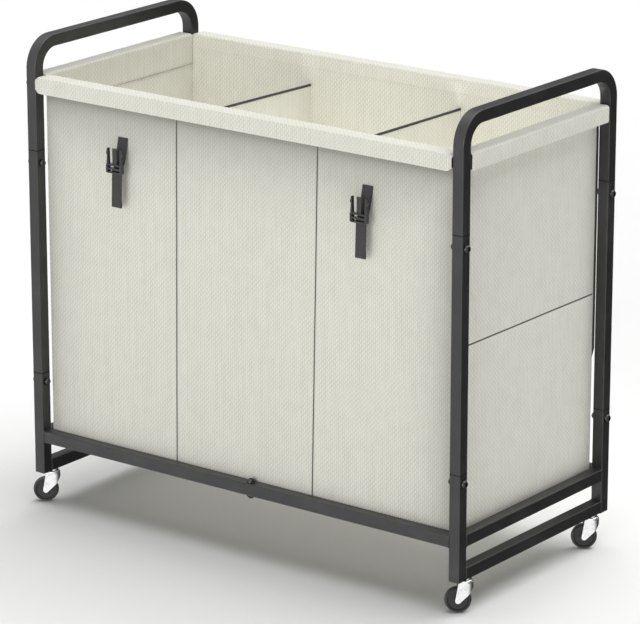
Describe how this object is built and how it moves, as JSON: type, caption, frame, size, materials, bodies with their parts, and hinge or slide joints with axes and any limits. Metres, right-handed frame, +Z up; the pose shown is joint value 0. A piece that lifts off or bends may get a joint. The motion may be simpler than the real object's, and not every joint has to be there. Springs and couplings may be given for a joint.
{
  "type": "laundry sorter on wheels",
  "caption": "Wheeled laundry sorter: black square-tube frame with bent handles carrying a rigid-walled cloth bag split into side-by-side compartments, on swivel casters.",
  "frame": {"origin": "on the floor, midway between the four uprights, where the frame's centre plane lines meet", "axes": "+X to the right along the wide front, +Y to the back, +Z up"},
  "size_m": [0.794, 0.382, 0.7132],
  "materials": {
    "frame_black": "satin powder coat",
    "bolt_black": "black coated steel",
    "zinc_steel": "zinc plated steel",
    "caster_chrome": "bright chrome plate",
    "wheel_black": "moulded hard plastic",
    "plug_plastic": "moulded plastic",
    "cloth_cream": "woven linen-look polyester",
    "board_plastic": "hollow plastic sheet",
    "tape_black": "grosgrain binding",
    "webbing_black": "woven webbing",
    "buckle_black": "moulded acetal"
  },
  "bodies": {
    "frame_and_bag": {"front_left_leg": "frame_black", "front_left_upright": "frame_black", "front_right_leg": "frame_black", "front_right_upright": "frame_black", "rear_left_leg": "frame_black", "rear_left_upright": "frame_black", "rear_right_leg": "frame_black", "rear_right_upright": "frame_black", "front_rail_left": "frame_black", "front_rail_right": "frame_black", "front_top_rail": "frame_black", "bag_front_panel": "cloth_cream", "front_hem": "cloth_cream", "rear_rail_left": "frame_black", "rear_rail_right": "frame_black", "rear_top_rail": "frame_black", "bag_rear_panel": "cloth_cream", "rear_hem": "cloth_cream", "left_handle": "frame_black", "left_lower_bar": "frame_black", "left_upper_bar": "frame_black", "left_top_rail": "frame_black", "bag_left_panel": "cloth_cream", "left_divider": "cloth_cream", "left_hem": "cloth_cream", "right_handle": "frame_black", "right_lower_bar": "frame_black", "right_upper_bar": "frame_black", "right_top_rail": "frame_black", "bag_right_panel": "cloth_cream", "right_divider": "cloth_cream", "right_hem": "cloth_cream", "leg_end_plugs": "plug_plastic", "joint_spigots": "zinc_steel", "through_bolts": "bolt_black", "cap_nuts": "bolt_black", "top_rail_bolts": "bolt_black", "top_rail_plugs": "zinc_steel", "caster_stems": "caster_chrome", "stem_nuts": "zinc_steel", "bag_bottom": "cloth_cream", "bottom_boards": "cloth_cream", "panel_boards": "board_plastic", "divider_bindings": "tape_black"},
    "front_left_caster": {"front_left_fork": "caster_chrome", "front_left_axle": "caster_chrome"},
    "front_left_roller": {"front_left_wheel": "wheel_black"},
    "front_right_caster": {"front_right_fork": "caster_chrome", "front_right_axle": "caster_chrome"},
    "front_right_roller": {"front_right_wheel": "wheel_black"},
    "rear_left_caster": {"rear_left_fork": "caster_chrome", "rear_left_axle": "caster_chrome"},
    "rear_left_roller": {"rear_left_wheel": "wheel_black"},
    "rear_right_caster": {"rear_right_fork": "caster_chrome", "rear_right_axle": "caster_chrome"},
    "rear_right_roller": {"rear_right_wheel": "wheel_black"},
    "left_strap_body": {"left_strap": "webbing_black", "left_buckle": "buckle_black"},
    "right_strap_body": {"right_strap": "webbing_black", "right_buckle": "buckle_black"}
  },
  "joints": [
    {"name": "front_left_swivel", "type": "hinge", "parent": "frame_and_bag", "child": "front_left_caster", "pos_m": [-0.3768, -0.158, 0.049], "axis": [0, 0, 1], "continuous": true},
    {"name": "front_left_roll", "type": "hinge", "parent": "front_left_caster", "child": "front_left_roller", "pos_m": [-0.38507, -0.16446, 0.019], "axis": [0.6157, -0.788, 0], "continuous": true},
    {"name": "front_right_swivel", "type": "hinge", "parent": "frame_and_bag", "child": "front_right_caster", "pos_m": [0.3768, -0.158, 0.049], "axis": [0, 0, 1], "continuous": true},
    {"name": "front_right_roll", "type": "hinge", "parent": "front_right_caster", "child": "front_right_roller", "pos_m": [0.36853, -0.16446, 0.019], "axis": [0.6157, -0.788, 0], "continuous": true},
    {"name": "rear_left_swivel", "type": "hinge", "parent": "frame_and_bag", "child": "rear_left_caster", "pos_m": [-0.3768, 0.158, 0.049], "axis": [0, 0, 1], "continuous": true},
    {"name": "rear_left_roll", "type": "hinge", "parent": "rear_left_caster", "child": "rear_left_roller", "pos_m": [-0.38507, 0.15154, 0.019], "axis": [0.6157, -0.788, 0], "continuous": true},
    {"name": "rear_right_swivel", "type": "hinge", "parent": "frame_and_bag", "child": "rear_right_caster", "pos_m": [0.3768, 0.158, 0.049], "axis": [0, 0, 1], "continuous": true},
    {"name": "rear_right_roll", "type": "hinge", "parent": "rear_right_caster", "child": "rear_right_roller", "pos_m": [0.36853, 0.15154, 0.019], "axis": [0.6157, -0.788, 0], "continuous": true},
    {"name": "left_strap_swing", "type": "hinge", "parent": "frame_and_bag", "child": "left_strap_body", "pos_m": [-0.2195, -0.1697, 0.587], "axis": [-1, 0, 0], "range_deg": [0, 100]},
    {"name": "right_strap_swing", "type": "hinge", "parent": "frame_and_bag", "child": "right_strap_body", "pos_m": [0.215, -0.1697, 0.587], "axis": [-1, 0, 0], "range_deg": [0, 100]}
  ]
}
